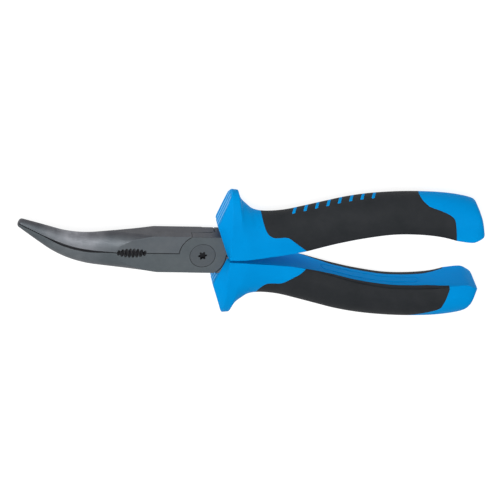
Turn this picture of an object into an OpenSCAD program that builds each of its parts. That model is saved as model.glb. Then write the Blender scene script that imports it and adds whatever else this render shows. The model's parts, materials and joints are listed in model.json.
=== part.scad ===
// Bent needle nose pliers: two forged levers crossing in a lap joint on one
// screw, each with a two-component grip (hard core, soft cover). The tool lies
// flat: X runs along it with the jaws at -X, Z is the pivot axis.

/* [Jaws] */
// Straight length of the jaws, from the pivot to the bend
straight_len = 44; // [40:1:50]
// Radius of the bend, on the parting line
bend_r = 45; // [38:1:60]
// Angle that the nose is bent by
bend_angle = 26; // [10:1:30]
// Straight length of the nose after the bend
nose_len = 16.2; // [12:0.2:22]
// Half width and half thickness of the tip
tip_r = 1.9; // [1.6:0.1:3]
// Gap left between the gripping faces behind the tips
jaw_relief = 0.9; // [0.2:0.1:1.4]

/* [Head] */
// Thickness of the head
head_t = 9.5; // [8:0.5:11]
// Width of the head across its flats
head_w = 17; // [16:0.2:18]
// Radius of the round lap faces
lap_r = 9.9; // [9.5:0.1:10]
// Gap between the two laps, and around them
lap_gap = 0.08; // [0.05:0.01:0.15]

/* [Pivot screw] */
// Diameter of the flush head
screw_head_d = 10.7; // [9:0.1:11]
// Thickness of the flush head
screw_head_t = 1.8; // [1.4:0.1:2.2]
// Diameter of the shank
screw_d = 6.5; // [5:0.5:7]
// Radial clearance between the screw and the front lever
screw_fit = 0.05; // [0.02:0.01:0.08]
// Size of the six-lobe recess across its points
recess_d = 4; // [3:0.1:4.5]

/* [Grips] */
// Half thickness of the flat lands that the tool rests on
land_h = 9; // [8.6:0.1:9.6]
// Thickness of the soft cover
cover_t = 1.9; // [1.5:0.1:2.2]
// Thickness of the steel tang inside a grip
tang_t = 6; // [5:0.5:7]

/* [Hidden] */
$fn = 64;

steel = [0.36, 0.38, 0.40];
screw_steel = [0.42, 0.44, 0.46];
core_blue = [0.0, 0.55, 0.86];
cover_black = [0.17, 0.18, 0.19];

half_t = head_t / 2;
half_w = head_w / 2;
clear_r = lap_r + lap_gap;
parting_y = 0.8;
head_y = 0.25;

function blend(a, b, f) = a + (b - a) * f;

// ---- nose: a slightly bent cone whose round is cut flat by the head's planes
nose_start = 6;
bend_len = bend_r * bend_angle * PI / 180;
nose_end = straight_len + bend_len + nose_len;
root_w = 9.9;
shoulder = 9.5;
shoulder_len = 30;

// Angle of the centreline at distance s from the pivot
function turn(s) = min(max((s - straight_len) / bend_len, 0), 1) * bend_angle;
// Centreline of the jaws at distance s from the pivot
function spine(s) =
    let (a = turn(s), past = max(s - straight_len - bend_len, 0))
    [
        -min(s, straight_len) - bend_r * sin(a) - past * cos(a),
        parting_y + bend_r * (1 - cos(a)) + past * sin(a),
    ];
// Roundness of the very tip: 1 along the jaw, falling to 0 at its end
function tip_round(s) = sqrt(max(1 - pow(max(1 - (nose_end - s) / tip_r, 0), 2), 0.02));
function along(s) = max(s - 12, 0) / (nose_end - 12);
// Half width and half thickness of the closed nose before it is cut flat
function nose_w(s) = tip_round(s) * (tip_r + (root_w - tip_r) * (1 - pow(along(s), 1.4)));
function nose_h(s) = tip_round(s)
    * (tip_r + 0.06 * (nose_end - max(s, 12)) + shoulder * pow(max(1 - (s - 12) / shoulder_len, 0), 2));
// Half the gap between the gripping faces
function relief(s) = let (back = 38, front = straight_len + bend_len)
    0.04 + (s > back && s < front ? jaw_relief / 2 * min((s - back) / 8, (front - s) / 4, 1) : 0);

// One ring of a jaw, from edge to edge of its gripping face and round its back
function jaw_ring(s, side) =
    let (
        a = turn(s), c = spine(s), w = nose_w(s), h = nose_h(s), steps = 14,
        limit = half_w + 0.1 + side * (head_y - parting_y)
    )
    [
        for (i = [0 : steps])
            let (
                q = -90 + 180 * i / steps,
                y = max(min(w * cos(q), limit), relief(s)) * side,
                z = min(max(h * sin(q), -half_t), half_t)
            )
            [c[0] + y * sin(a), c[1] + y * cos(a), z]
    ];

// Closed solid through a list of rings with the same number of points. Each end is
// closed by a fan round its middle, or by strips from the ring's one face to the other
module skin(rings, strips = false) {
    n = len(rings[0]);
    m = len(rings);
    last = (m - 1) * n;
    function middle(r) = [for (i = [0 : 2]) (min([for (q = r) q[i]]) + max([for (q = r) q[i]])) / 2];
    middles = strips ? [] : [middle(rings[0]), middle(rings[m - 1])];
    sides = [
        for (i = [0 : m - 2], j = [0 : n - 1])
            let (k = (j + 1) % n)
            each [
                [i * n + j, i * n + k, (i + 1) * n + k],
                [i * n + j, (i + 1) * n + k, (i + 1) * n + j],
            ]
    ];
    fan_ends = [
        for (j = [0 : n - 1])
            let (k = (j + 1) % n)
            each [[k, j, n * m], [last + j, last + k, n * m + 1]]
    ];
    strip_ends = [
        for (j = [0 : ceil(n / 2) - 2])
            let (k = j + 1, p = n - 1 - j, q = p - 1)
            each concat(
                [[k, j, p], [last + j, last + k, last + p]],
                k < q ? [[k, p, q], [last + k, last + q, last + p]] : []
            )
    ];
    points = concat([for (r = rings) each r], middles);
    polyhedron(points, concat(sides, strips ? strip_ends : fan_ends));
}

module jaw(side) {
    tip_steps = [0.75, 0.5, 0.3, 0.15, 0.04, 0];
    s_list = concat(
        [for (i = [0 : 26]) nose_start + (nose_end - tip_r - nose_start) * i / 26],
        [for (f = tip_steps) nose_end - tip_r * f]
    );
    rings = [for (s = s_list) jaw_ring(s, side)];
    skin(side < 0 ? [for (i = [len(rings) - 1 : -1 : 0]) rings[i]] : rings);
}

// ---- toothed pipe grip behind the nose
flute_from = 23.8;
flute_to = 36.4;
flute_rise = 1.2;
tooth_rise = 1;
flute_teeth = 8;
tooth_slant = 4;

// Shallow arc of the pipe grip with its slanted teeth, cut into one jaw
module flute_cut(side) {
    half_len = (flute_to - flute_from) / 2;
    middle = flute_from + half_len;
    arc_r = (pow(half_len, 2) + pow(flute_rise, 2)) / (2 * flute_rise);
    pitch = 2 * half_len / flute_teeth;
    translate([-middle, parting_y - side * (arc_r - flute_rise), 0])
        cylinder(r = arc_r, h = head_t + 2, center = true, $fn = 180);
    for (i = [0 : flute_teeth - 1]) {
        x = flute_from + pitch * (i + 0.5);
        share = sqrt(1 - pow((x - middle) / half_len, 2));
        translate([-x, parting_y, 0])
            rotate([0, 0, tooth_slant])
                linear_extrude(head_t + 2, center = true)
                    polygon([
                        [-pitch * 0.32, -side], [pitch * 0.32, -side],
                        [pitch * 0.32, side * flute_rise * 0.5],
                        [0, side * (flute_rise + tooth_rise) * share + side * 0.2],
                        [-pitch * 0.32, side * flute_rise * 0.5],
                    ]);
    }
}

// ---- lap joint
module lap_outline() {
    intersection() {
        circle(r = lap_r);
        translate([-lap_r, head_y - half_w])
            square([2 * lap_r, head_w]);
    }
}

// Where a lever's tang leaves the lap, beyond the other lever's round
module root_outline(side)
    polygon([
        [1, side * 0.3], [16, side * 0.3],
        [16, head_y + side * half_w], [1, head_y + side * half_w],
    ]);

// Tang, tapering to a round end inside the grip
tang_end = [103, 20.4];
module tang_outline(side) {
    polygon([
        [10, side * 1.2], [24, side * 3.6], [46, side * 8.4], [70, side * 14.6],
        [88, side * 17.2], [tang_end[0], side * (tang_end[1] - 3)],
        [tang_end[0], side * (tang_end[1] + 3)], [86, side * 24.4], [66, side * 22.4],
        [44, side * 16.6], [26, side * 13], [14, side * half_w], [10, side * half_w],
    ]);
    translate([tang_end[0], side * tang_end[1]])
        circle(r = 3);
}

// Steel of one lever except its jaw: face is +1 for the front lap, -1 for the rear,
// and side is the side that its tang lies on
module lever_back(face, side) {
    translate([0, 0, face > 0 ? lap_gap / 2 : -half_t])
        linear_extrude(half_t - lap_gap / 2)
            union() {
                lap_outline();
                root_outline(side);
            }
    linear_extrude(head_t, center = true)
        difference() {
            root_outline(side);
            circle(r = clear_r);
        }
    linear_extrude(tang_t, center = true)
        difference() {
            tang_outline(side);
            circle(r = clear_r);
        }
}

// Room for the other lever's lap in this lever's jaw
module lap_pocket(face)
    translate([0, 0, face > 0 ? -head_t : -lap_gap / 2])
        cylinder(r = clear_r, h = head_t + lap_gap / 2);

module front_lever() {
    color(steel)
        difference() {
            union() {
                lever_back(1, 1);
                difference() {
                    jaw(-1);
                    lap_pocket(1);
                    flute_cut(-1);
                }
            }
            cylinder(r = screw_d / 2 + screw_fit, h = head_t);
            translate([0, 0, half_t - screw_head_t - screw_fit])
                cylinder(r = screw_head_d / 2 + screw_fit, h = head_t);
        }
}

module rear_lever() {
    color(steel)
        difference() {
            union() {
                lever_back(-1, -1);
                difference() {
                    jaw(1);
                    lap_pocket(-1);
                    flute_cut(1);
                }
            }
            translate([0, 0, -head_t])
                cylinder(r = screw_d / 2, h = head_t);
        }
}

// Flush screw with a six-lobe recess, fixed in the rear lever
module pivot_screw() {
    lobes = 6;
    color(screw_steel)
        difference() {
            union() {
                translate([0, 0, -half_t])
                    cylinder(r = screw_d / 2, h = head_t);
                translate([0, 0, half_t - screw_head_t])
                    cylinder(r = screw_head_d / 2, h = screw_head_t);
            }
            translate([0, 0, half_t - screw_head_t * 0.9])
                linear_extrude(head_t)
                    union() {
                        circle(r = recess_d * 0.36);
                        for (i = [0 : lobes - 1])
                            rotate(i * 360 / lobes)
                                translate([recess_d * 0.36, 0])
                                    circle(r = recess_d * 0.14);
                    }
        }
}

// ---- grips. A station is [inner x, inner y, inner half height,
//      outer x, outer y, outer half height, height of the face, where it starts to fall]
wall_h = 4.3;
edge_h = 0.9;
mouth = half_t + 0.3;
bore_h = half_t + 0.05;
// A guard's stations also say how far they are bowed out towards the jaws
guard_stations = [
    [10.5, 0.8, mouth, 9.5, 26.4, wall_h, mouth, 0.4, 1],
    [11.2, 0.5, land_h, 10.3, 28.6, edge_h, land_h, 0.3, 0],
    [17, 0.6, land_h, 13.9, 28.6, edge_h, land_h, 0.3, 0],
];
guard_bow = [[0, 0], [0.3, 2.6], [0.5, 4.25], [1, 0]];
handle_stations = [
    [17, 0.6, land_h, 13.9, 28.6, 0.9, land_h, 0.3],
    [20, 0.9, 8.9, 15.6, 25.2, 0.7, 8.9, 0.3],
    [23, 1.2, 8.6, 17.6, 21.9, 0.5, 8.6, 0.3],
    [27, 1.7, 8.2, 20.8, 19.5, 0.4, 8.3, 0.3],
    [32, 2.3, 7.7, 26, 18.7, 0.4, 7.9, 0.3],
    [38, 3.2, 7.2, 34, 19.5, 0.4, 7.5, 0.3],
    [44, 4.4, 6.9, 43, 21.8, 0.4, 7.3, 0.3],
    [51, 6.3, 6.8, 51, 24.0, 0.4, 7.3, 0.3],
    [59, 8.5, 7.1, 60, 26.3, 0.4, 7.6, 0.3],
    [68, 10.7, 7.5, 70, 28.0, 0.4, 7.9, 0.3],
    [80, 12.8, 7.7, 82, 29.0, 0.4, 8.1, 0.3],
    [91, 13.3, 7.9, 93, 29.2, 0.4, 8.3, 0.3],
    [101, 12.7, 8.3, 103, 28.7, 0.4, 8.6, 0.3],
    [108, 11.4, land_h, 110, 27.6, 0.5, land_h, 0.3],
    [113.5, 10.3, land_h, 114.3, 26.3, 0.8, land_h, 0.35],
    [117.2, 11.9, 8.2, 116, 24.7, 1.6, 8.3, 0.4],
    [119.2, 13.2, 6.6, 117.1, 22.8, 2.4, 6.8, 0.45],
];
end_station = [119.9, 14.2, 4.6, 118, 20.6, 3, 4.8, 0.5];
across = [0, 0.1, 0.2, 0.3, 0.38, 0.43, 0.47, 0.5, 0.54, 0.6, 0.68, 0.76, 0.84, 0.91, 0.96, 0.99, 1];

// Catmull-Rom curve through the handle's stations
function station(u) =
    let (
        last = len(handle_stations) - 1,
        i = min(floor(u), last - 1),
        f = u - i,
        b = handle_stations[i],
        c = handle_stations[i + 1],
        a = i > 0 ? handle_stations[i - 1] : 2 * b - c,
        d = i < last - 1 ? handle_stations[i + 2] : 2 * c - b
    )
    b + 0.5 * f * ((c - a) + f * ((2 * a - 5 * b + 4 * c - d) + f * (3 * (b - c) + d - a)));

// Half height of the grip's face at fraction v of the way to its outer edge
function face_h(st, v) = v <= st[7]
    ? min(st[2] + (st[6] - st[2]) * v / st[7], land_h)
    : let (w = (v - st[7]) / (1 - st[7])) min(st[5] + (st[6] - st[5]) * sqrt(max(1 - w * w, 0)), land_h);
function face_x(st, v) = st[0] + (st[3] - st[0]) * v - (len(st) > 8 ? st[8] * lookup(v, guard_bow) : 0);
function face_y(st, v) = st[1] + (st[4] - st[1]) * v;

// The inner side stands out between its two chamfers by lip, which starts and ends
// with the soft cover. strip_h is how far down a chamfer reaches
strip_h = 2.3;
lip_along = [[44, 0], [56, 0.6], [107, 0.6], [113, 0]];
function lip(st) = lookup(st[0], lip_along);

// Closed section of the grip at a station
function grip_ring(st, side) =
    let (
        face = [for (v = across) [face_x(st, v), side * face_y(st, v), face_h(st, v)]],
        edge = [st[0], side * (st[1] - lip(st)), st[2] - strip_h],
        front = concat([edge], face)
    )
    concat(front, [for (i = [len(front) - 1 : -1 : 0]) [front[i][0], front[i][1], -front[i][2]]]);

guard_steps = [6, 3];
handle_steps = 3;
function all_stations() = concat(
    [
        for (k = [0 : len(guard_stations) - 2], i = [0 : guard_steps[k] - 1])
            blend(guard_stations[k], guard_stations[k + 1], i / guard_steps[k])
    ],
    [for (i = [0 : handle_steps * (len(handle_stations) - 1)]) station(i / handle_steps)],
    [end_station]
);

module grip_solid(side) {
    rings = [for (st = all_stations()) grip_ring(st, side)];
    skin(side > 0 ? rings : [for (i = [len(rings) - 1 : -1 : 0]) rings[i]], true);
}

// The soft cover starts and ends on curves across the grip, given as station
// numbers against the fraction v of the way to the outer edge
cover_front = [
    [0, 6.0], [0.25, 5.5], [0.42, 5.05], [0.47, 4.5], [0.5, 3.95], [0.56, 3.6], [0.7, 3.5], [1, 3.6],
];
cover_rear = [
    [0, 12.95], [0.3, 12.8], [0.5, 12.6], [0.65, 12.35], [0.72, 11.95], [0.8, 11.5],
    [0.88, 11.15], [1, 10.85],
];
cover_rows = 26;

// Station of the cover's row at fraction p along it, where it crosses fraction v
function cover_station(p, v) = station(blend(lookup(v, cover_front), lookup(v, cover_rear), p));

// A point at fraction v across the grip, moved out along the surface's slope by d
function skin_point(st, v, d) =
    let (lean = v <= st[7] ? 0 : (v - st[7]) / (1 - st[7]))
    [
        face_x(st, v),
        face_y(st, v) + d * pow(lean, 2),
        face_h(st, v) + d * sqrt(max(1 - pow(lean, 4), 0.04)),
    ];

// Front half of one row of the cover: outside, then inside
function cover_outside(p, proud) =
    let (st = cover_station(p, 0))
    concat(
        [
            [st[0], st[1] - lip(st) - proud, st[2] - strip_h],
            [st[0], st[1] - proud, st[2] + proud],
        ],
        [for (i = [1 : len(across) - 1]) skin_point(cover_station(p, across[i]), across[i], proud)]
    );
function cover_inside(p) =
    let (st = cover_station(p, 0), first = cover_t / (st[4] - st[1]))
    concat(
        [[st[0], st[1] - lip(st) + cover_t, st[2] - strip_h]],
        [
            for (v = across)
                skin_point(cover_station(p, v), blend(first, 1, v), -cover_t)
        ]
    );
// A whole row runs round the spine to the back, where z is negative
function both_faces(row, side) =
    concat(
        [for (q = row) [q[0], side * q[1], q[2]]],
        [for (i = [len(row) - 1 : -1 : 0]) [row[i][0], side * row[i][1], -row[i][2]]]
    );

// The soft cover, with its outside raised by proud to cut its recess cleanly
module cover_solid(side, proud = 0) {
    outside = [for (i = [0 : cover_rows]) both_faces(cover_outside(i / cover_rows, proud), side)];
    inside = [for (i = [0 : cover_rows]) both_faces(cover_inside(i / cover_rows), side)];
    n = len(outside[0]);
    m = cover_rows + 1;
    back = n * m;
    function quad(a, b, c, d) = side > 0 ? [[a, b, c], [a, c, d]] : [[c, b, a], [d, c, a]];
    faces = [
        for (i = [0 : m - 2], j = [0 : n - 2])
            let (a = i * n + j, b = a + n)
            each concat(
                quad(a, a + 1, b + 1, b),
                quad(back + a, back + b, back + b + 1, back + a + 1)
            ),
        for (i = [0 : m - 2])
            let (a = i * n, b = a + n, c = a + n - 1, d = b + n - 1)
            each concat(quad(a, b, back + b, back + a), quad(c, back + c, back + d, d)),
        for (j = [0 : n - 2])
            let (a = j, b = (m - 1) * n + j)
            each concat(quad(a, back + a, back + a + 1, a + 1), quad(b, b + 1, back + b + 1, back + b)),
    ];
    polyhedron(concat([for (r = outside) each r], [for (r = inside) each r]), faces);
}

// Hard core of a grip: clear of both laps, and fitted round its own tang
module grip_core(side) {
    resize([0, 0, 0]) difference() {
        grip_solid(side);
        cover_solid(side, 1);
        cylinder(r = clear_r + 0.1, h = 2 * bore_h, center = true);
        linear_extrude(2 * bore_h, center = true)
            root_outline(side);
        linear_extrude(tang_t, center = true)
            tang_outline(side);
    }
}

module upper_grip_core() {
    color(core_blue) grip_core(1);
}
module lower_grip_core() {
    color(core_blue) grip_core(-1);
}
module upper_soft_cover() {
    color(cover_black) cover_solid(1);
}
module lower_soft_cover() {
    color(cover_black) cover_solid(-1);
}

// The part's frame: the middle of the tool's length, on the plane it rests on
tip_x = min([for (f = [0 : 0.05 : 1], q = jaw_ring(nose_end - f * tip_r, -1)) q[0]]);
shift = [-(tip_x + end_station[0]) / 2, 0, land_h];

translate(shift) front_lever();
translate(shift) rear_lever();
translate(shift) pivot_screw();
translate(shift) upper_grip_core();
translate(shift) lower_grip_core();
translate(shift) upper_soft_cover();
translate(shift) lower_soft_cover();
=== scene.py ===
import json
import math

import bmesh
import bpy
import numpy as np
from mathutils import Matrix, Vector


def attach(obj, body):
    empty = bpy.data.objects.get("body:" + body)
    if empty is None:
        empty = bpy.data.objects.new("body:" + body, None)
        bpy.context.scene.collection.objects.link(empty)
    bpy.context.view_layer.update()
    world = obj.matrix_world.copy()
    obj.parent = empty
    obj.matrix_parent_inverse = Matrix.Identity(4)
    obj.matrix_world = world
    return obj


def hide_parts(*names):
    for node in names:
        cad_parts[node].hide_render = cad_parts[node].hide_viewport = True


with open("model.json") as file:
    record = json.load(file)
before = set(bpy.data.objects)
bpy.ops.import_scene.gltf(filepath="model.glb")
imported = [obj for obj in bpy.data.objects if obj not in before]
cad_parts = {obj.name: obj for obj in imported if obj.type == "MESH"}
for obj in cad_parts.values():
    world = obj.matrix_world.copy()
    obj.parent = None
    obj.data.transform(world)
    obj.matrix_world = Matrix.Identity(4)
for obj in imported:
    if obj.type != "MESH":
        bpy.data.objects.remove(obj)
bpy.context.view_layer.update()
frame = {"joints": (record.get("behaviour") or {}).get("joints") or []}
PIVOT = np.array(frame["joints"][0]["pos_m"]) * 1000

HALF_T = 4.75  # half thickness of the steel head
RIB_PITCH = 2.5  # between the three ribs on each guard's front wall
WELD = 2e-7  # metres within which points are joined
CRISP = 26  # degrees above which an edge of the steel stays sharp

# ---------------------------------------------------------------- small helpers


def smooth(t):
    """An S-shaped rise from 0 at t = 0 to 1 at t = 1."""
    t = np.clip(t, 0, 1)
    return t * t * (3 - 2 * t)


def spread(n, pull):
    """n numbers from 0 to 1, closer together near both ends."""
    t = np.linspace(0, 1, n)
    return t - pull * np.sin(2 * np.pi * t) / (2 * np.pi)


def catmull(a, b, c, d, f):
    """Place at fraction f from b to c on the Catmull-Rom curve through a, b, c and d."""
    return b + 0.5 * f * ((c - a) + f * ((2 * a - 5 * b + 4 * c - d) + f * (3 * (b - c) + d - a)))


def curve_through(knots, shares):
    """Points at the given shares of the length of a smooth curve through knots."""
    k = np.array(knots, float)
    k = np.vstack([2 * k[0] - k[1], k, 2 * k[-1] - k[-2]])
    dense = []
    for i in range(1, len(k) - 2):
        for f in np.linspace(0, 1, 24, endpoint=False):
            dense.append(catmull(k[i - 1], k[i], k[i + 1], k[i + 2], f))
    dense.append(k[-2])
    dense = np.array(dense)
    length = np.concatenate([[0], np.cumsum(np.linalg.norm(np.diff(dense, axis=0), axis=1))])
    want = np.asarray(shares) * length[-1]
    return np.stack([np.interp(want, length, dense[:, i]) for i in range(dense.shape[1])], -1)


def make(name, points, faces, crisp=None):
    """Mesh object from millimetre points."""
    points = (np.asarray(points, float) + PIVOT) / 1000
    mesh = bpy.data.meshes.new(name)
    mesh.from_pydata([tuple(p) for p in points], [], [tuple(int(i) for i in f) for f in faces])
    mesh.validate()
    obj = bpy.data.objects.new(name, mesh)
    bpy.context.scene.collection.objects.link(obj)
    mend(obj, crisp)
    return obj


def mend(obj, crisp=None):
    """Joins doubled points, turns the faces outward and shades them smooth, except over
    edges steeper than crisp degrees."""
    bm = bmesh.new()
    bm.from_mesh(obj.data)
    bmesh.ops.remove_doubles(bm, verts=bm.verts, dist=WELD)
    bmesh.ops.dissolve_degenerate(bm, edges=bm.edges, dist=WELD)
    bmesh.ops.recalc_face_normals(bm, faces=bm.faces)
    for f in bm.faces:
        f.smooth = True
    if crisp is not None:
        limit = math.radians(crisp)
        for e in bm.edges:
            if len(e.link_faces) == 2 and e.calc_face_angle(0) > limit:
                e.smooth = False
    bm.to_mesh(obj.data)
    bm.free()


def lattice(rows, cols, start=0, wrap=False):
    """Quads of a rows x cols lattice of points numbered row by row from start."""
    r, c = np.meshgrid(np.arange(rows - 1), np.arange(cols if wrap else cols - 1), indexing="ij")
    n = (c + 1) % cols
    a, b = r * cols + c, r * cols + n
    return np.stack([a, b, b + cols, a + cols], -1).reshape(-1, 4) + start


def soften_rows(grid, sigma, closed):
    """Averages each row of points along its own length, over sigma millimetres. The ends
    of an open row stay where they are."""
    out = grid.copy()
    m = grid.shape[1]
    for k, row in enumerate(grid):
        step = np.linalg.norm(np.roll(row, -1, 0) - row, axis=1)
        place = np.concatenate([[0], np.cumsum(step[:-1])])
        gap = np.abs(place[:, None] - place[None, :])
        if closed:
            gap = np.minimum(gap, step.sum() - gap)
            share = (step + np.roll(step, 1)) / 2
        else:
            step = step[:-1]
            share = np.concatenate([[step[0]], step[:-1] + step[1:], [step[-1]]]) / 2
        reach = np.broadcast_to(sigma[k] if np.ndim(sigma) else sigma, (m,))[:, None]
        w = np.exp(-0.5 * (gap / reach) ** 2) * (share[None, :] + 1e-9)
        if not closed:
            to_end = np.minimum(place, place[-1] - place)[:, None]
            w = np.where(gap <= to_end + 1e-6, w, 0)
            np.fill_diagonal(w, np.maximum(np.diag(w), 1e-6))
        out[k] = (w @ row) / w.sum(1, keepdims=True)
    return out


def normals(grid):
    """Outward unit normals of a lattice whose rows are closed rings."""
    along = np.gradient(grid, axis=0)
    around = (np.roll(grid, -1, 1) - np.roll(grid, 1, 1)) / 2
    n = np.cross(along, around)
    return n / np.maximum(np.linalg.norm(n, axis=-1, keepdims=True), 1e-9)


# ------------------------------------------------------------------ materials


class Nodes:
    """Short way to write a material. A source is a (node, output) pair."""

    def __init__(self, name):
        self.mat = bpy.data.materials.new(name)
        self.mat.use_nodes = True
        self.tree = self.mat.node_tree
        self.tree.nodes.clear()
        self.bsdf = self.add("ShaderNodeBsdfPrincipled")
        self.link((self.bsdf, "BSDF"), self.add("ShaderNodeOutputMaterial"), "Surface")
        coordinates = self.add("ShaderNodeTexCoord")
        self.place = (coordinates, "Object")
        self.facing = (coordinates, "Normal")

    def add(self, kind, **settings):
        n = self.tree.nodes.new(kind)
        for key, value in settings.items():
            setattr(n, key, value)
        return n

    def link(self, source, node, socket):
        self.tree.links.new(source[0].outputs[source[1]], node.inputs[socket])

    def shade(self, **values):
        """Constants and sources for the shader's own sockets, _ standing for a space."""
        for key, value in values.items():
            socket = key.replace("_", " ")
            if isinstance(value, tuple) and len(value) == 2:
                self.link(value, self.bsdf, socket)
            else:
                self.bsdf.inputs[socket].default_value = value

    def noise(self, scale, detail, rough, stretch=None):
        n = self.add("ShaderNodeTexNoise")
        for socket, value in (("Scale", scale), ("Detail", detail), ("Roughness", rough)):
            n.inputs[socket].default_value = value
        place = self.place
        if stretch:
            m = self.add("ShaderNodeMapping")
            m.inputs["Scale"].default_value = stretch
            self.link(place, m, "Vector")
            place = (m, "Vector")
        self.link(place, n, "Vector")
        return (n, "Fac")

    def part(self, source, axis):
        """The X, Y or Z of a vector."""
        n = self.add("ShaderNodeSeparateXYZ")
        self.link(source, n, "Vector")
        return (n, axis)

    def colour(self, col):
        n = self.add("ShaderNodeRGB")
        n.outputs[0].default_value = (*col, 1)
        return (n, 0)

    def calc(self, operation, first, second=None):
        """Arithmetic on a source and, where there is one, a second source or number."""
        n = self.add("ShaderNodeMath", operation=operation)
        self.link(first, n, 0)
        if isinstance(second, tuple):
            self.link(second, n, 1)
        elif second is not None:
            n.inputs[1].default_value = second
        return (n, "Value")

    def rise(self, source, low, high, top=1.0):
        """0 where the source is at low, rising to top where it is at high."""
        n = self.add("ShaderNodeMapRange")
        for socket, value in (("From Min", low), ("From Max", high), ("To Max", top)):
            n.inputs[socket].default_value = value
        self.link(source, n, "Value")
        return (n, "Result")

    def ramp(self, source, low, low_col, high, high_col):
        """One colour up to low, another from high on, blended between them."""
        n = self.add("ShaderNodeValToRGB")
        for stop, at, col in zip(n.color_ramp.elements, (low, high), (low_col, high_col)):
            stop.position = at
            stop.color = (*col, 1)
        self.link(source, n, "Fac")
        return (n, "Color")

    def mix(self, first, second, share):
        """Two colours, blended by a source or number that is the second one's share."""
        n = self.add("ShaderNodeMix", data_type="RGBA")
        if isinstance(share, tuple):
            self.link(share, n, 0)
        else:
            n.inputs[0].default_value = share
        self.link(first, n, 6)
        self.link(second, n, 7)
        return (n, 2)

    def bump(self, *layers):
        """Bumps on top of one another, each (source, strength, depth in metres)."""
        last = None
        for source, strength, depth in layers:
            n = self.add("ShaderNodeBump")
            n.inputs["Strength"].default_value = strength
            n.inputs["Distance"].default_value = depth
            self.link(source, n, "Height")
            if last:
                self.link(last, n, "Normal")
            last = (n, "Normal")
        self.link(last, self.bsdf, "Normal")


def srgb(r, g, b):
    """Linear colour of 0 to 255 screen values."""

    def linear(c):
        c /= 255
        return c / 12.92 if c <= 0.04045 else ((c + 0.055) / 1.055) ** 2.4

    return (linear(r), linear(g), linear(b))


def grey(v):
    return (v, v, v)


def steel(name, dark, light, highlight_share=1.0, shade_below=None):
    """Steel with ground faces, mottled from dark to light, with painted shade darkening the
    sides as they turn from straight up, finely grained, and with a painted highlight where
    the nose bends. Below a given height, in metres, it is painted near black as shade."""
    k = Nodes(name)
    mottle = k.noise(260, 6, 0.6)
    cloud = k.noise(70, 3, 0.5)
    grain = k.noise(5200, 3, 0.65)
    brushed = k.noise(900, 4, 0.6, stretch=(0.18, 1.6, 1.0))
    tone = k.ramp(mottle, 0.25, dark, 0.75, light)
    warm = k.ramp(cloud, 0.35, srgb(94, 98, 102), 0.68, srgb(106, 108, 110))
    # painted shade: surfaces that turn away from straight up get a darker colour than the faces
    shaded_sides = k.ramp(mottle, 0.25, srgb(69, 70, 75), 0.75, srgb(83, 84, 88))
    level = k.calc("ABSOLUTE", k.part(k.facing, "Z"))
    paint = k.mix(shaded_sides, k.mix(tone, warm, 0.25), k.rise(level, 0.55, 0.97))
    # painted highlight: a pale patch on the steel around the bend of the nose, where the light catches
    # it
    highlight_at = (PIVOT[0] - 54.5) / 1000
    off = k.calc("ABSOLUTE", k.calc("SUBTRACT", k.part(k.place, "X"), highlight_at))
    painted_highlight = k.calc("MULTIPLY", k.rise(off, 0.0155, 0.0025, highlight_share), mottle)
    paint = k.mix(paint, k.colour(srgb(153, 154, 160)), painted_highlight)
    # painted shade: everything below the screw head's face, the six-lobe recess, is painted near black
    if shade_below is not None:
        deep = k.calc("LESS_THAN", k.part(k.place, "Z"), shade_below)
        paint = k.mix(paint, k.colour(srgb(40, 41, 44)), deep)
    satin = k.ramp(brushed, 0.2, grey(0.35), 0.8, grey(0.51))
    k.shade(Base_Color=paint, Roughness=satin, Metallic=0.25, Specular_IOR_Level=0.12)
    k.bump((mottle, 0.10, 0.0003), (grain, 0.16, 0.00004), (brushed, 0.08, 0.00005))
    return k.mat


def hard_plastic(name):
    """Saturated blue polypropylene with a fine spark-eroded grain. The ribs of the
    guards' front walls get a pale painted highlight on their crests."""
    k = Nodes(name)
    cloud = k.noise(55, 3, 0.5)
    grain = k.noise(3600, 4, 0.6)
    tone = k.ramp(cloud, 0.3, srgb(0, 136, 207), 0.7, srgb(0, 143, 215))
    # painted highlight: the crests of the three ribs on each guard's front wall are painted pale blue
    depth = k.calc("SUBTRACT", k.part(k.place, "Z"), PIVOT[2] / 1000)
    wave = k.calc("COSINE", k.calc("MULTIPLY", depth, 2 * math.pi * 1000 / RIB_PITCH))
    crest = k.calc("GREATER_THAN", wave, 0.35)
    for limit in (
        k.calc("LESS_THAN", k.calc("ABSOLUTE", depth), 0.0033),
        k.calc("LESS_THAN", k.part(k.place, "X"), (PIVOT[0] + 10.1) / 1000),
        k.calc("GREATER_THAN", k.calc("ABSOLUTE", k.part(k.place, "Y")), 0.0098),
    ):
        crest = k.calc("MULTIPLY", crest, limit)
    rib_highlight = k.calc("MULTIPLY", crest, 0.45)
    paint = k.mix(tone, k.colour(srgb(150, 195, 232)), rib_highlight)
    satin = k.ramp(grain, 0.2, grey(0.42), 0.8, grey(0.54))
    k.shade(Base_Color=paint, Roughness=satin, Specular_IOR_Level=0.015)
    k.bump((grain, 0.10, 0.00005), (cloud, 0.05, 0.0004))
    return k.mat


def soft_rubber(name):
    """Matt black thermoplastic rubber: fine pores, slightly uneven in tone."""
    k = Nodes(name)
    pores = k.add("ShaderNodeTexVoronoi")
    pores.inputs["Scale"].default_value = 2600
    k.link(k.place, pores, "Vector")
    grain = k.noise(4200, 4, 0.65)
    paint = k.ramp(k.noise(120, 5, 0.6), 0.3, srgb(34, 37, 40), 0.72, srgb(42, 44, 47))
    matt = k.ramp(grain, 0.2, grey(0.62), 0.8, grey(0.76))
    k.shade(Base_Color=paint, Roughness=matt, Specular_IOR_Level=0.15)
    k.bump((grain, 0.22, 0.00006), ((pores, "Distance"), 0.12, 0.00005))
    return k.mat


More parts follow.
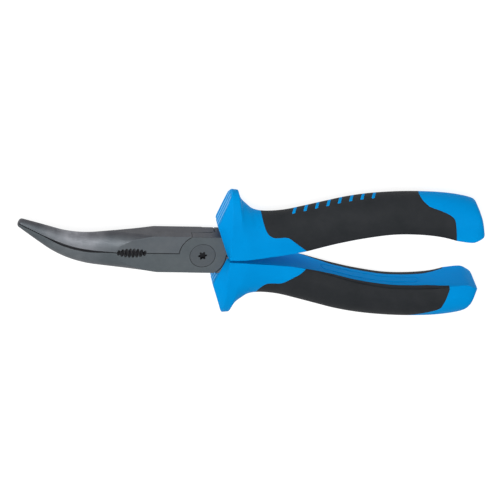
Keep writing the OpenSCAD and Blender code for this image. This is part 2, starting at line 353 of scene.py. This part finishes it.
def pale_floor(name):
    """Matt pale grey with some light of its own, so that hardly a shadow shows on it."""
    k = Nodes(name)
    paint = k.ramp(k.noise(40, 3, 0.5), 0.3, grey(0.198), 0.7, grey(0.2))
    k.shade(Base_Color=paint, Roughness=0.9, Emission_Color=(1, 1, 1, 1), Emission_Strength=0.88)
    return k.mat


STEEL = steel("forged_steel", srgb(87, 94, 100), srgb(99, 105, 110))
# the front lever, which carries the lower jaw, gets a darker, cooler copy of the steel with less
# painted highlight: painted shade and a cool painted reflection
STEEL_FRONT = steel("forged_steel_front", srgb(80, 88, 93), srgb(91, 99, 103), highlight_share=0.3)
BELOW_FACE = (PIVOT[2] + HALF_T - 0.2) / 1000
SCREW = steel("screw_steel", srgb(76, 83, 88), srgb(86, 92, 97), shade_below=BELOW_FACE)
BLUE = hard_plastic("hard_blue")
BLACK = soft_rubber("soft_black")


def dress(obj, mat, body, node):
    """Gives a piece its material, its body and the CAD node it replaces."""
    obj.data.materials.clear()
    obj.data.materials.append(mat)
    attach(obj, body)
    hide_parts(node)


# ------------------------------------------------------------------ grip surface
# A station is one section of a grip: inner x, inner y, inner half height, outer x,
# outer y, outer half height, height of the face, share of the way across at which the
# face starts to fall, and how far the section is bowed out towards the jaws.
LAND = 9.0  # half height of the flat lands that the tool rests on
MOUTH = 5.05  # half height of the guard's front opening
WALL = 4.3  # half height of the guard's front wall at its rim
STATIONS = np.array(
    [
        [10.5, 0.8, MOUTH, 9.8, 26.4, WALL, MOUTH, 0.4, 1],
        [11.2, 0.5, LAND, 10.7, 28.7, 0.9, LAND, 0.3, 0],
        [17, 0.6, LAND, 13.5, 28.4, 0.9, LAND, 0.3, 0],
        [20, 0.9, 8.9, 15.0, 24.6, 0.7, 8.9, 0.3, 0],
        [23, 1.2, 8.6, 17.6, 21.9, 0.5, 8.6, 0.3, 0],
        [27, 1.7, 8.2, 20.8, 19.5, 0.4, 8.3, 0.3, 0],
        [32, 2.3, 7.7, 26, 18.7, 0.4, 7.9, 0.3, 0],
        [38, 3.2, 7.2, 34, 19.5, 0.4, 7.5, 0.3, 0],
        [44, 4.4, 6.9, 43, 21.8, 0.4, 7.3, 0.3, 0],
        [51, 6.3, 6.8, 51, 24.0, 0.4, 7.3, 0.3, 0],
        [59, 8.5, 7.1, 60, 26.3, 0.4, 7.6, 0.3, 0],
        [68, 10.7, 7.5, 70, 28.0, 0.4, 7.9, 0.3, 0],
        [80, 12.65, 7.7, 82, 29.0, 0.4, 8.1, 0.3, 0],
        [91, 12.95, 7.9, 93, 29.2, 0.4, 8.3, 0.3, 0],
        [101, 12.25, 8.3, 103, 28.7, 0.4, 8.6, 0.3, 0],
        [108, 11.1, LAND, 110, 27.6, 0.5, LAND, 0.3, 0],
        [114.6, 10.3, LAND, 114.3, 26.3, 0.8, LAND, 0.35, 0],
        [118.0, 11.6, 8.7, 116.1, 24.7, 1.8, 8.8, 0.4, 0],
        [119.4, 12.4, 8.0, 117.2, 22.8, 2.8, 8.2, 0.45, 0],
        [119.89, 13.0, 6.7, 118.3, 20.2, 3.8, 6.9, 0.5, 0],
    ]
)
LAST = len(STATIONS) - 1
# Each table is places and the values there. The bow is over the way across; the lip,
# by which the inner strip stands out, and the drop of its chamfer are over x
BOW = [0, 0.3, 0.5, 1], [0, 2.8, 4.85, 0]
LIP = [44, 60, 76, 88, 107, 113], [0, 0.05, 0.2, 0.25, 0.25, 0]
DROP = [30, 44, 57, 78, 98, 107.5, 114], [0.3, 0.3, 2.6, 3.15, 3.15, 1.2, 1.0]
WIDEST = 29.21  # the curves are held inside the CAD's box


def station(s):
    """Sections at real-valued station numbers: straight in the guard and at the very
    end, smooth along the handle."""
    s = np.clip(np.asarray(s, float), 0, LAST)
    i = np.minimum(s.astype(int), LAST - 1)
    f = (s - i)[..., None]
    b, c = STATIONS[i], STATIONS[i + 1]
    a = np.where((i > 2)[..., None], STATIONS[np.maximum(i - 1, 0)], 2 * b - c)
    d = np.where((i < LAST - 2)[..., None], STATIONS[np.minimum(i + 2, LAST)], 2 * c - b)
    curved = ((i >= 2) & (i < LAST - 1))[..., None]
    return np.where(curved, catmull(a, b, c, d, f), b + (c - b) * f)


def surface(s, q):
    """A point of the upper grip's front half. q goes 0..1 over the inner strip, 1..2 up
    the chamfer to the crease, 2..3 over the face and 3..4 down the outer spine. s below
    0 walks down the guard's front wall to mid-thickness at -1."""
    xi, yi, hi, xo, yo, ho, hf, f0, bow = np.moveaxis(station(s), -1, 0)
    v = np.clip(q - 2, 0, 1)
    lean = np.clip((v - f0) / (1 - f0), 0, 1)
    falling = ho + (hf - ho) * np.sqrt(np.maximum(1 - lean**2, 0))
    face = np.where(v <= f0, hi + (hf - hi) * v / f0, falling)
    drop = np.interp(xi, *DROP)
    chamfer = hi - drop * (2 - q)
    x = xi + (xo - xi) * v - bow * np.interp(v, *BOW)
    y = yi + (yo - yi) * v - np.interp(xi, *LIP) * np.clip(2 - q, 0, 1)
    z = np.where(q < 2, chamfer, np.where(q > 3, ho * (4 - q), face))
    z = np.where(q < 1, (hi - drop) * q, z)
    z = np.minimum(z, LAND) * np.clip(1 + s, 0, 1)
    return np.stack([x, np.minimum(y, WIDEST), z], -1)


# Where the soft cover starts and ends on the face, as x, y from crease to spine
COVER_FRONT = {
    1: [[44.1, 4.42], [42.2, 5.8], [39.4, 7.85], [36.6, 9.85], [35.2, 10.5], [33.6, 10.6], [31.4, 10.4],
        [29.3, 10.45], [27.6, 11.2], [26.3, 12.5], [25.2, 14.6], [24.4, 16.8], [23.9, 18.95]],
    -1: [[44.3, 4.5], [43.4, 5.7], [41.6, 7.3], [39.4, 8.5], [36.2, 10.6], [34.2, 11.5], [31.5, 11.5],
         [28.6, 11.6], [27.0, 12.5], [25.6, 14.2], [24.7, 16.0], [23.9, 18.95]],
}
COVER_REAR = {
    1: [[107.5, 11.5], [107.4, 12.6], [107.1, 14.9], [106.7, 17.2], [106.1, 20.1], [105.3, 21.5],
        [103.6, 22.7], [101, 23.8], [98, 24.8], [95, 25.7], [93.2, 26.8], [91.8, 27.9], [90.6, 29.15]],
    -1: [[107.2, 11.6], [107.3, 12.6], [106.9, 14.9], [106.3, 17.6], [105.5, 20.4], [104.8, 22.2],
         [103.2, 23.6], [100.3, 24.9], [97.4, 26.0], [94.4, 27.1], [91.8, 28.1], [89.4, 29.1]],
}


def on_face(points):
    """Station number and share across, (s, v), of x, y points on the face. The first
    point lies on the crease and the last on the spine."""
    ss, vv = np.meshgrid(np.linspace(2.2, LAST - 1.2, 500), np.linspace(0, 1, 120), indexing="ij")
    table = surface(ss, vv + 2)[..., :2].reshape(-1, 2)
    nudge = 1e-3
    out = []
    for p in points:
        i = np.argmin(((table - p) ** 2).sum(1))
        s, v = ss.ravel()[i], vv.ravel()[i]
        for _ in range(8):
            ahead, behind = surface(s + nudge, v + 2)[:2], surface(s - nudge, v + 2)[:2]
            st = station(s)
            slopes = np.stack([(ahead - behind) / (2 * nudge), [st[3] - st[0], st[4] - st[1]]], 1)
            step = np.linalg.lstsq(slopes, p - surface(s, v + 2)[:2], rcond=None)[0]
            s += np.clip(step[0], -0.3, 0.3)
            v = min(max(v + step[1], 0), 1)
        out.append((s, v))
    out = np.array(out)
    out[0, 1], out[-1, 1] = 0, 1
    return out


# Columns of the lattice on one half: strip, chamfer, face, spine
Q_STRIP = 1 - (1 - np.linspace(0, 1, 20)[:-1]) ** 1.35
Q_CHAMFER = np.linspace(1, 2, 13)[:-1]
TAU = spread(76, 0.72)
Q_SPINE = np.linspace(3, 4, 7)[1:]
Q_ALL = np.concatenate([Q_STRIP, Q_CHAMFER, TAU + 2, Q_SPINE])
FACE = slice(len(Q_STRIP) + len(Q_CHAMFER), len(Q_STRIP) + len(Q_CHAMFER) + len(TAU))

RIB_DEPTH = 0.28
CREASE_DEPTH = 0.5
GATE_X, GATE_Z, GATE_DEPTH = 83.8, 0.8, 0.35
# Along x, where the inner edges stop being shifted towards the lower grip, and by how much
SHIFT_FADE = {1: (30, 95), -1: (20, 50)}
SHIFT = 0.5


def lattice_numbers(side):
    """Station numbers and q of the front half's lattice, and the rows on which the cover
    starts and stops."""

    def level(s):
        return np.full(len(Q_ALL), float(s)), Q_ALL

    def rim(knots):
        found = on_face(curve_through(knots, TAU))
        s, q = np.full(len(Q_ALL), found[0, 0]), Q_ALL.copy()
        s[FACE], s[FACE.stop :] = found[:, 0], found[-1, 0]
        q[FACE] = found[:, 1] + 2
        return s, q

    front, rear = rim(COVER_FRONT[side]), rim(COVER_REAR[side])
    before = [
        (level(-1), level(0), spread(25, 0.35)[:-1]),
        (level(0), level(1), spread(19, 0.6)[:-1]),
        (level(1), level(2), spread(17, 0.6)[:-1]),
        (level(2), front, spread(48, 0.35)[:-1]),
    ]
    covered = (front, rear, spread(150, 0.3)[:-1])
    behind = [
        (rear, level(LAST - 1), spread(30, 0.3)[:-1]),
        (level(LAST - 1), level(LAST), np.linspace(0, 1, 6)),
    ]
    s_rows, q_rows = [], []
    for (s0, q0), (s1, q1), shares in before + [covered] + behind:
        for t in shares:
            s_rows.append(s0 + (s1 - s0) * t)
            q_rows.append(q0 + (q1 - q0) * t)
    start = sum(len(shares) for _, _, shares in before)
    return np.array(s_rows), np.array(q_rows), start, start + len(covered[2])


def round_trip(half):
    """Columns of the front half, then of the back half on the way home."""
    return np.concatenate([half, half[..., -2:0:-1]], -1)


def cut_ribs(grid, s_ring, ring):
    """Sinks the guard's front wall on both sides of its ribs."""
    wall = (s_ring < 0.02) & (ring > 2.3)
    comb = sum(np.exp(-(((grid[..., 2] - at) / 0.42) ** 4)) for at in (-RIB_PITCH, 0, RIB_PITCH))
    share = smooth((ring - 2.33) / 0.04) * smooth((2.95 - ring) / 0.05)
    push = normals(grid)
    push[..., 2] = 0
    push /= np.maximum(np.linalg.norm(push, axis=-1, keepdims=True), 1e-9)
    return grid - np.where(wall, RIB_DEPTH * (1 - comb) * share, 0)[..., None] * push


def grip_lattice(side):
    """The grip's whole skin as a lattice, with rows along it and columns round it, its
    normals, and the rows on which the cover starts and stops."""
    s, q, start, stop = lattice_numbers(side)
    half = surface(s, q)
    grid = np.concatenate([half, half[:, -2:0:-1] * np.array([1, 1, -1])], 1)
    s_ring, ring = round_trip(s), round_trip(Q_ALL)
    # rounder on the guard's outer corners than on its inner tip and along the handle
    rounder = (1 - smooth((s_ring - 2.2) / 2.5)) * smooth((ring - 2.15) / 0.25)
    grid = soften_rows(grid, 0.14 + 0.26 * rounder, True)
    across = soften_rows(np.swapaxes(grid, 0, 1), np.swapaxes(0.16 + 0.14 * rounder, 0, 1), False)
    grid = cut_ribs(np.swapaxes(across, 0, 1), s_ring, ring)
    skin = normals(grid)
    # the cover has a fine groove along its crease, and a gate mark on the upper spine
    row = np.arange(stop - start)
    cover = np.zeros((len(grid), 1))
    cover[start:stop, 0] = smooth(row / 12) * smooth((stop - start - 1 - row) / 6)
    crease = np.exp(-(((ring - 1.94) / 0.1) ** 2)) * cover
    grid = grid - CREASE_DEPTH * crease[..., None] * skin
    if side > 0:
        off = ((grid[..., 0] - GATE_X) / 0.9) ** 2 + ((grid[..., 2] - GATE_Z) / 0.7) ** 2
        grid[..., 1] -= GATE_DEPTH * np.exp(-off) * (cover > 0)
    # near the guards both inner edges lie a little towards the lower grip
    fade_from, fade_to = SHIFT_FADE[side]
    near = 1 - smooth((grid[..., 0] - fade_from) / (fade_to - fade_from))
    grid[..., 1] -= side * SHIFT * near * (1 - smooth((ring - 2) / 0.5))
    return grid, skin, start, stop


# ------------------------------------------------------------------ grip pieces
STRIP = len(Q_STRIP)  # columns of the inner strip on each half, which no cover hides
SUNK = 0.9  # how deep the core lies under the cover
SHELL = 0.85  # thickness of the cover's shell
BARS, BAR_X, BAR_PITCH = 8, 38.2, 4.75
FRAME_X, FRAME_HALF_LENGTH, FRAME_HALF_WIDTH, FRAME_DEPTH = 73.5, 21.5, 2.2, 0.32


def between(grid, r):
    """The lattice's row at a real-valued row number."""
    i = int(min(max(math.floor(r), 0), len(grid) - 2))
    f = r - i
    return grid[i] * (1 - f) + grid[i + 1] * f


def sunk_row(grid, skin, r, depth):
    """The row at row number r, moved in by a depth or by one for each column."""
    return between(grid, r) - between(skin, r) * np.reshape(depth, (-1, 1))


def spine_bar(grid, x0, first):
    """One of the slanted bars of the core that stand through the cover on the spine: its
    points, and its quads for points numbered from first."""
    mid = grid.shape[1] // 2
    near = grid[:, mid - 30 : mid + 31]
    section = np.array([-0.66, -0.66, -0.58, -0.3, 0, 0.3, 0.58, 0.66, 0.66])
    proud = np.array([-1.1, 0.0, 0.12, 0.14, 0.14, 0.14, 0.12, 0.0, -1.1])
    rows = []
    for t in np.linspace(-1, 1, 13):
        z = 0.35 + 2.2 * t
        xs = [np.interp(-z, -row[:, 2], row[:, 0]) for row in near]
        ys = [np.interp(-z, -row[:, 2], row[:, 1]) for row in near]
        x = x0 - 0.32 * z + section
        lift = np.minimum(proud, 0.0) if abs(t) == 1 else proud
        rows.append(np.stack([x, np.interp(x, xs, ys) + lift, np.full(len(x), z)], -1))
    deep = np.array([0, 1.1, 0])
    rows = np.array([rows[0] - deep] + rows + [rows[-1] - deep])
    return rows.reshape(-1, 3), lattice(len(rows), len(section), start=first, wrap=True)


def engrave_frame(rows):
    """Engraves an empty long frame with round ends into the inner strip."""
    cols = rows.shape[1]
    column = np.arange(cols)
    strip = (column < STRIP) | (column > cols - STRIP)
    past = np.abs(rows[..., 0] - FRAME_X) - (FRAME_HALF_LENGTH - FRAME_HALF_WIDTH)
    off = np.hypot(np.maximum(past, 0), rows[..., 2])
    line = np.exp(-(((off - FRAME_HALF_WIDTH) / 0.24) ** 4))
    rows[..., 1] += FRAME_DEPTH * line * strip


def core_mesh(side, grid, skin, start, stop):
    """Points and faces of the core: flush where it shows, sunk under the cover."""
    cols = grid.shape[1]
    covered = np.zeros(cols, bool)
    covered[STRIP : cols - STRIP + 1] = True
    plan = [(r, 0) for r in range(start)]
    plan += [(start - 0.3, 0), (start - 0.08, 0.03), (start, 0.16), (start + 0.02, SUNK)]
    plan += [(r, SUNK) for r in range(start + 1, stop)]
    plan += [(stop - 0.02, SUNK), (stop, 0.16), (stop + 0.08, 0.03), (stop + 0.3, 0)]
    plan += [(r, 0) for r in range(stop + 1, len(grid))]
    rows = np.array([sunk_row(grid, skin, r, np.where(covered, depth, 0)) for r, depth in plan])
    if side < 0:
        engrave_frame(rows)
    end = rows[-1]
    cap = [end + (end.mean(0) - end) * t for t in np.linspace(0, 1, 8)[1:]]
    rows = np.concatenate([rows, cap])
    points, faces = rows.reshape(-1, 3), lattice(len(rows), cols, wrap=True)
    if side > 0:
        for k in range(BARS):
            more, quads = spine_bar(grid[start:stop], BAR_X + BAR_PITCH * k, len(points))
            points = np.concatenate([points, more])
            faces = np.concatenate([faces, quads])
    return points, faces


def cover_mesh(grid, skin, start, stop):
    """Points and faces of the cover: a closed shell with softly rounded rims."""
    cols = grid.shape[1]
    keep = np.arange(STRIP, cols - STRIP + 1)
    rims = [(0.10, 0.85), (0.10, 0.2), (0.16, 0.07), (0.34, 0.0)]
    plan = [(start + a, depth) for a, depth in rims]
    plan += [(r, 0.0) for r in range(start + 1, stop)]
    plan += [(stop - a, depth) for a, depth in reversed(rims)]
    # the two columns next to each long edge are rounded down too
    edges = np.zeros(cols)
    edges[keep[[0, -1]]], edges[keep[[1, -2]]] = 0.2, 0.06
    outer = np.array([sunk_row(grid, skin, r, np.maximum(edges, depth))[keep] for r, depth in plan])
    inner = np.array([sunk_row(grid, skin, r, SHELL)[keep] for r, _ in plan])
    first, last = inner[:, :1], inner[:, -1:]
    outer = np.concatenate([first, outer, last], 1)
    inner = np.concatenate([first, inner, last], 1)
    m, n = outer.shape[:2]
    faces = [tuple(f) for f in lattice(m, n)]
    faces += [tuple(f[::-1]) for f in lattice(m, n, start=m * n)]
    for j in range(n - 1):
        k = (m - 1) * n + j
        faces.append((j + 1, j, m * n + j, m * n + j + 1))
        faces.append((k, k + 1, m * n + k + 1, m * n + k))
    return np.concatenate([outer.reshape(-1, 3), inner.reshape(-1, 3)]), faces


def build_grip(side, body, core_node, cover_node, label):
    skin_data = grip_lattice(side)
    mirror = np.array([1, side, 1])
    points, faces = core_mesh(side, *skin_data)
    dress(make(label + "_core", points * mirror, faces), BLUE, body, core_node)
    points, faces = cover_mesh(*skin_data)
    dress(make(label + "_cover", points * mirror, faces), BLACK, body, cover_node)


# ------------------------------------------------------------------ jaws
PARTING = 0.8  # y of the line where the jaws meet
STRAIGHT, BEND_R, BEND = 44.0, 45.0, math.radians(26)
BEND_LEN = BEND_R * BEND
NOSE_END = STRAIGHT + BEND_LEN + 15.85
# Half width of a jaw at the tip and at the root, and how far out its ground side lies
TIP_W = {1: 1.78, -1: 1.7}
ROOT_W = {1: 9.25, -1: 10.0}
SIDE_AT = {1: 8.05, -1: 8.95}
ROOT_S = 12.0  # distance from the pivot at which a jaw starts to taper
TIP_R = 1.9  # half thickness of the tip
BLUNT = 0.95  # length over which the very tip is rounded
TEETH_FROM, TEETH_TO, TOOTH_PITCH, TOOTH_DEPTH = 66.2, NOSE_END - 1.6, 0.85, 0.26


def spine(s):
    """Centre and direction of the jaws at distance s from the pivot."""
    a = np.clip((s - STRAIGHT) / BEND_LEN, 0, 1) * BEND
    past = np.maximum(s - STRAIGHT - BEND_LEN, 0)
    x = -np.minimum(s, STRAIGHT) - BEND_R * np.sin(a) - past * np.cos(a)
    y = PARTING + BEND_R * (1 - np.cos(a)) + past * np.sin(a)
    return x, y, a


def tip_round(s):
    """1 along the jaw, falling to 0.45 at the very tip."""
    return 0.45 + 0.55 * math.sqrt(max(1 - max(1 - (NOSE_END - s) / BLUNT, 0) ** 2, 0))


def nose_w(s, side):
    """Half width of a jaw's round before its sides are ground."""
    along = max(s - ROOT_S, 0) / (NOSE_END - ROOT_S)
    return tip_round(s) * (TIP_W[side] + (ROOT_W[side] - TIP_W[side]) * (1 - along**1.8))


def nose_h(s):
    """Half thickness of a jaw's round before its faces are ground."""
    taper = 0.06 * (NOSE_END - max(s, ROOT_S))
    root = 9.5 * max(1 - (s - ROOT_S) / 30, 0) ** 2
    return tip_round(s) * (TIP_R + taper + root)


def relief(s):
    """How far a gripping face stands back at the tool's faces."""
    open_share = min((s - 36.6) / 14, (NOSE_END - 10 - s) / 12, 1)
    return 0.18 + 0.42 * smooth(max(open_share, 0))


def jaw_profile(s, side):
    """Half section of a jaw as (y, z) from the gripping face to mid-thickness, with its
    corners at the same places in every section."""
    w, h = nose_w(s, side), nose_h(s)
    back = relief(s)
    # angles on the ellipse where the flat face ends and where the ground side starts
    face_end = min(math.asin(min(HALF_T / h, 1)), math.acos(min((back + 0.05) / w, 1)))
    side_start = math.acos(min(SIDE_AT[side] / w, 1))
    if side_start < face_end:
        arc = [(w * math.cos(q), h * math.sin(q)) for q in np.linspace(face_end, side_start, 14)]
    else:
        arc = [(SIDE_AT[side], HALF_T)] * 14
    corner, edge = arc[0], arc[-1]
    flat = [(back + (corner[0] - back) * t, corner[1]) for t in spread(12, 0.3)[:-1]]
    wall = [(edge[0], edge[1] * (1 - t)) for t in np.linspace(0, 1, 9)[1:]]
    return np.array(flat + arc + wall)


def tooth(s):
    """How deep the saw-toothed gripping face is cut at distance s."""
    if not TEETH_FROM < s < TEETH_TO:
        return 0.0
    phase = (s - TEETH_FROM) / TOOTH_PITCH % 1
    return TOOTH_DEPTH * (phase if phase < 0.75 else (1 - phase) * 3)


def jaw_mesh(name, side):
    """A whole jaw, from inside the lap to the tip."""
    to_tip = (1.2, 1, 0.8, 0.65, 0.5, 0.36, 0.24, 0.14, 0.07, 0.03, 0.008, 0)
    places = np.concatenate(
        [
            np.linspace(0, STRAIGHT, 70),
            np.linspace(STRAIGHT, TEETH_FROM, 40)[1:-1],
            np.arange(TEETH_FROM, TEETH_TO, TOOTH_PITCH / 6),
            [NOSE_END - 1.2 * t for t in to_tip],
        ]
    )
    grip_z = np.array([0.9, 0.62, 0.46, 0.3, 0, -0.3, -0.46, -0.62, -0.9])
    shut = smooth((0.5 - np.abs(grip_z)) / 0.3)
    cut = smooth((0.9 - np.abs(grip_z)) / 0.1)
    rows = []
    for s in np.unique(np.round(places, 5)):
        half = jaw_profile(s, side)
        prof = np.concatenate([half, half[-2::-1] * np.array([1, -1])])
        prof = soften_rows(prof[None], 0.16, False)[0]
        # the gripping face stands back at the tool's faces and shuts at mid-thickness
        stand = relief(s) + (0.03 - relief(s)) * shut + tooth(s) * cut
        prof = np.concatenate([prof, np.stack([stand, -grip_z * half[0, 1]], -1)])
        x, y, a = spine(s)
        off = prof[:, 0] * side
        rows.append(np.stack([x + off * math.sin(a), y + off * math.cos(a), prof[:, 1]], -1))
    n = len(rows[0])
    ends = [np.repeat(row.mean(0)[None], n, 0) for row in (rows[0], rows[-1])]
    rows = np.array([ends[0]] + rows + [ends[1]])
    return make(name, rows.reshape(-1, 3), lattice(len(rows), n, wrap=True), crisp=CRISP)


# ------------------------------------------------------------------ levers and screw
HALF_W = 8.5  # half width of the head across its flats
HEAD_Y = 0.25  # y of the head's middle line
LAP_R = 9.9
LAP_CLEAR = 0.32  # round the lap, in the other lever
LAP_GAP = 0.22  # from each lap's face to mid-thickness
TANG_HALF_T = 3
CHAMFER = 0.12  # on the head's edges
BEYOND = 8  # height at which a cutter is clear of the head
SCREW_R, SCREW_HEAD_R, SCREW_HEAD_T = 3.25, 5.35, 1.8
RECESS_DEPTH = 1.6


def prism(name, outline, z0, z1, chamfer=0.0):
    """Straight prism of an outline in x, y with small chamfers on its face edges."""
    outline = np.array(outline, float)
    after = np.roll(outline, -1, 0)
    if np.sum(outline[:, 0] * after[:, 1] - after[:, 0] * outline[:, 1]) < 0:
        outline = outline[::-1]
    n = len(outline)
    d1, d2 = outline - np.roll(outline, 1, 0), np.roll(outline, -1, 0) - outline
    d1 /= np.linalg.norm(d1, axis=1, keepdims=True)
    d2 /= np.linalg.norm(d2, axis=1, keepdims=True)
    n1, n2 = np.stack([-d1[:, 1], d1[:, 0]], -1), np.stack([-d2[:, 1], d2[:, 0]], -1)
    mitre = n1 + n2
    mitre /= np.maximum((mitre * n1).sum(1, keepdims=True), 0.3)
    levels = [(z0, 0), (z1, 0)]
    if chamfer:
        levels = [(z0, chamfer), (z0 + chamfer, 0), (z1 - chamfer, 0), (z1, chamfer)]
    points = [(*p, z) for z, inset in levels for p in outline + mitre * inset]
    faces = list(lattice(len(levels), n, wrap=True))
    faces.append(range(n)[::-1])
    faces.append(range(len(points) - n, len(points)))
    return make(name, points, faces, crisp=CRISP)


def circle(r, n):
    turns = np.linspace(0, 2 * math.pi, n, endpoint=False)
    return [(r * math.cos(t), r * math.sin(t)) for t in turns]


def combine(obj, tools, operation):
    """Applies booleans with the tools, and removes the tools."""
    for tool in tools:
        m = obj.modifiers.new("b", "BOOLEAN")
        m.operation, m.solver, m.object = operation, "EXACT", tool
        graph = bpy.context.evaluated_depsgraph_get()
        done = bpy.data.meshes.new_from_object(obj.evaluated_get(graph))
        obj.modifiers.clear()
        old = obj.data
        obj.data = done
        bpy.data.meshes.remove(old)
        bpy.data.objects.remove(tool)


def flute(side):
    """Outline that cuts one jaw's half of the toothed pipe grip: a row of square teeth
    whose height follows an ellipse."""
    near, far, count, lean = 23.8, 36.4, 8, 0.10
    middle, half_len, pitch = (near + far) / 2, (far - near) / 2, (far - near) / count
    out = [(-far - 0.01, -0.6), (-far, 0.0)]
    for i in range(count):
        x = far - pitch * (i + 0.5)
        swell = math.sqrt(max(1 - ((x - middle) / half_len) ** 2, 0))
        top, crest = 0.35 + 1.85 * swell, 0.1 + 1.0 * swell
        tooth_line = [(-0.5, crest), (-0.3, top * 0.86), (-0.16, top), (0.16, top), (0.3, top * 0.86)]
        for share, h in tooth_line if i else tooth_line[1:]:
            out.append((-x + share * pitch + lean * h * side, h))
    out += [(-near, 0.0), (-near, -0.6)]
    return [(x, PARTING + side * y) for x, y in out]


def lap_round():
    """Round lap cut off by the head's two flats, without doubled points."""
    out = []
    for x, y in circle(LAP_R, 180):
        p = (x, min(max(y, HEAD_Y - HALF_W), HEAD_Y + HALF_W))
        if not out or math.dist(p, out[-1]) > 1e-6:
            out.append(p)
    return out


def tang(side):
    """Outline of the tang inside a grip."""
    points = [[10, 1.2], [24, 3.6], [46, 8.4], [70, 14.6], [88, 17.2], [103, 17.4], [106, 20.4],
              [103, 23.4], [86, 24.4], [66, 22.4], [44, 16.6], [26, 13], [14, 8.0], [10, 8.0]]
    return [(x, side * y) for x, y in points]


def lever(name, face, jaw_side, back_side, body, node):
    """face is +1 for the lever with the front lap, -1 for the rear one."""
    pocket_z = (-BEYOND, -LAP_GAP) if face > 0 else (LAP_GAP, BEYOND)
    lap_z = (LAP_GAP, HALF_T) if face > 0 else (-HALF_T, -LAP_GAP)
    other_lap = circle(LAP_R + LAP_CLEAR, 200)
    jaw = jaw_mesh(name, jaw_side)
    toothed = prism("flute", flute(jaw_side), -BEYOND, BEYOND)
    pocket = prism("pocket", other_lap, *pocket_z)
    combine(jaw, [toothed, pocket], "DIFFERENCE")
    lap = prism("lap", lap_round(), *lap_z, CHAMFER)
    x0, x1, y0, y1 = 4.2, 16, back_side * 0.3, HEAD_Y + back_side * HALF_W
    root = prism("root", [(x0, y0), (x1, y0), (x1, y1), (x0, y1)], -HALF_T, HALF_T, CHAMFER)
    combine(root, [prism("notch", other_lap, *pocket_z)], "DIFFERENCE")
    shank = prism("shank", tang(back_side), -TANG_HALF_T, TANG_HALF_T)
    combine(jaw, [lap, root, shank], "UNION")
    if face > 0:
        seat = prism("seat", circle(SCREW_HEAD_R + 0.15, 160), HALF_T - SCREW_HEAD_T - 0.02, BEYOND)
        combine(jaw, [seat], "DIFFERENCE")
    mend(jaw, CRISP)
    dress(jaw, STEEL_FRONT if face > 0 else STEEL, body, node)


def star(r_out, r_in, turn):
    """Six-lobe outline with rounded lobes and hollows."""
    out = []
    for i in range(96):
        t = 2 * math.pi * i / 96
        r = r_in + (r_out - r_in) * (0.5 + 0.5 * math.cos(6 * t)) ** 0.9
        out.append((r * math.cos(t + turn), r * math.sin(t + turn)))
    return out


def screw(body, node):
    """Flush screw: shank, round head and six-lobe recess."""
    shank = prism("pivot_screw_visual", circle(SCREW_R, 96), -HALF_T, HALF_T - 1.2, chamfer=0.2)
    head = prism("head", circle(SCREW_HEAD_R, 160), HALF_T - SCREW_HEAD_T, HALF_T - 0.01, chamfer=0.07)
    combine(shank, [head], "UNION")
    recess = prism("recess", star(1.95, 1.25, math.radians(8)), HALF_T - RECESS_DEPTH, BEYOND)
    combine(shank, [recess], "DIFFERENCE")
    mend(shank, CRISP)
    dress(shank, SCREW, body, node)


lever("front_lever_visual", 1, -1, 1, "front_half", "front_lever")
lever("rear_lever_visual", -1, 1, -1, "rear_half", "rear_lever")
screw("rear_half", "pivot_screw")
build_grip(1, "front_half", "upper_grip_core", "upper_soft_cover", "upper")
build_grip(-1, "rear_half", "lower_grip_core", "lower_soft_cover", "lower")

# ------------------------------------------------------------------ stage
FLOOR = 3.0  # metres from the middle of the floor to its edge
floor_mesh = bpy.data.meshes.new("floor")
corners = [(-FLOOR, -FLOOR, 0), (FLOOR, -FLOOR, 0), (FLOOR, FLOOR, 0), (-FLOOR, FLOOR, 0)]
floor_mesh.from_pydata(corners, [], [(0, 1, 2, 3)])
floor = bpy.data.objects.new("floor", floor_mesh)
bpy.context.scene.collection.objects.link(floor)
floor.data.materials.append(pale_floor("pale_floor"))

world = bpy.data.worlds.new("studio")
bpy.context.scene.world = world
world.use_nodes = True
sky = world.node_tree.nodes["Background"]
sky.inputs["Color"].default_value = (1, 1, 1, 1)
sky.inputs["Strength"].default_value = 0.32


def area(name, place, size, power):
    """Round soft light aimed at the tool; metres and watts."""
    data = bpy.data.lights.new(name, "AREA")
    data.shape, data.size, data.energy = "DISK", size, power
    obj = bpy.data.objects.new(name, data)
    bpy.context.scene.collection.objects.link(obj)
    obj.location = place
    obj.rotation_mode = "QUATERNION"
    obj.rotation_quaternion = (-Vector(place)).to_track_quat("-Z", "Y")


area("key", (-0.25, 0.25, 0.95), 0.5, 6.4)
area("fill", (0.35, 0.0, 0.8), 0.6, 1.2)
area("side", (-0.75, 0.1, 0.35), 0.4, 1.6)

# The camera looks from above, a little from the upper handle's side and from the left
YAW, PITCH, ROLL = math.radians(10.29), math.radians(27.90), math.radians(5.70)
DISTANCE = 1308.0
SEEN = 211.873  # width of what the picture shows at that distance
AIM = np.array([20.82, 0.56, 0])
away = Vector((-math.sin(YAW) * math.cos(PITCH), math.sin(PITCH), math.cos(YAW) * math.cos(PITCH)))
level_up = Vector((0, 1, 0)) - away * away.y
level_up.normalize()
level_right = level_up.cross(away)
right = level_right * math.cos(ROLL) + level_up * math.sin(ROLL)
up = level_up * math.cos(ROLL) - level_right * math.sin(ROLL)
camera_data = bpy.data.cameras.new("camera")
camera_data.sensor_width = 36
camera_data.lens = camera_data.sensor_width * DISTANCE / SEEN
camera_data.clip_start, camera_data.clip_end = 0.1, 10
camera = bpy.data.objects.new("camera", camera_data)
bpy.context.scene.collection.objects.link(camera)
aim = Vector((AIM + PIVOT) / 1000)
turned = Matrix((right, up, away)).transposed().to_4x4()
camera.matrix_world = Matrix.Translation(aim + away * DISTANCE / 1000) @ turned
bpy.context.scene.camera = camera
bpy.context.scene.view_settings.view_transform = "Standard"
